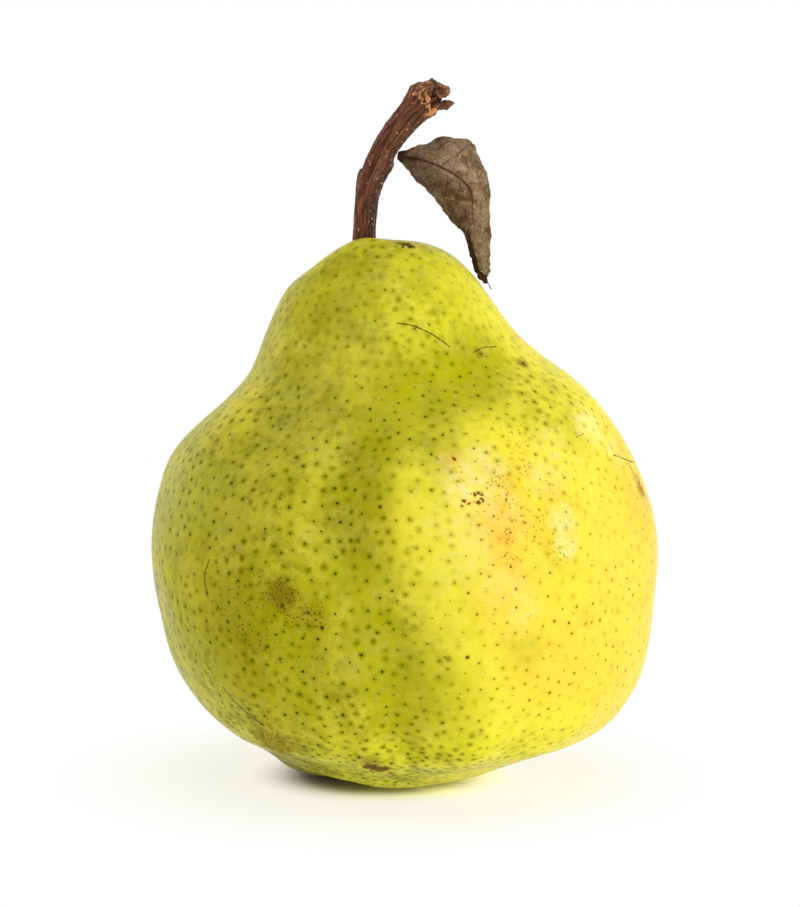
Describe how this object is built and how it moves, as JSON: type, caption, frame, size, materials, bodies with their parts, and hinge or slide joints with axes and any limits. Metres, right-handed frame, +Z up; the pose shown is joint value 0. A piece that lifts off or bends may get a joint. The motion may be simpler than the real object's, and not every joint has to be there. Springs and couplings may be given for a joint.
{
  "type": "pear",
  "caption": "Whole squat pear that stands on its base, with its woody stalk, a dried leaf hanging from it and a dried calyx in the hollow underneath.",
  "frame": {"origin": "on the resting plane, under the middle of the fruit's outline", "axes": "+Z up the fruit towards its stalk; -Y is the front; +X is the side the stalk bends and the leaf hangs towards"},
  "size_m": [0.0802, 0.0776, 0.1105],
  "materials": {
    "skin": "waxy yellow-green skin with dark dots, satin",
    "stalk_wood": "ridged red-brown bark, dull",
    "dried_leaf": "dry grey-brown leaf, dull",
    "calyx": "dry dark brown flower remains, dull"
  },
  "bodies": {
    "root": {"fruit": "skin", "stalk": "stalk_wood", "leaf": "dried_leaf", "sepal_1": "calyx", "sepal_2": "calyx", "sepal_3": "calyx", "sepal_4": "calyx", "sepal_5": "calyx", "dried_flower": "calyx"}
  },
  "joints": []
}
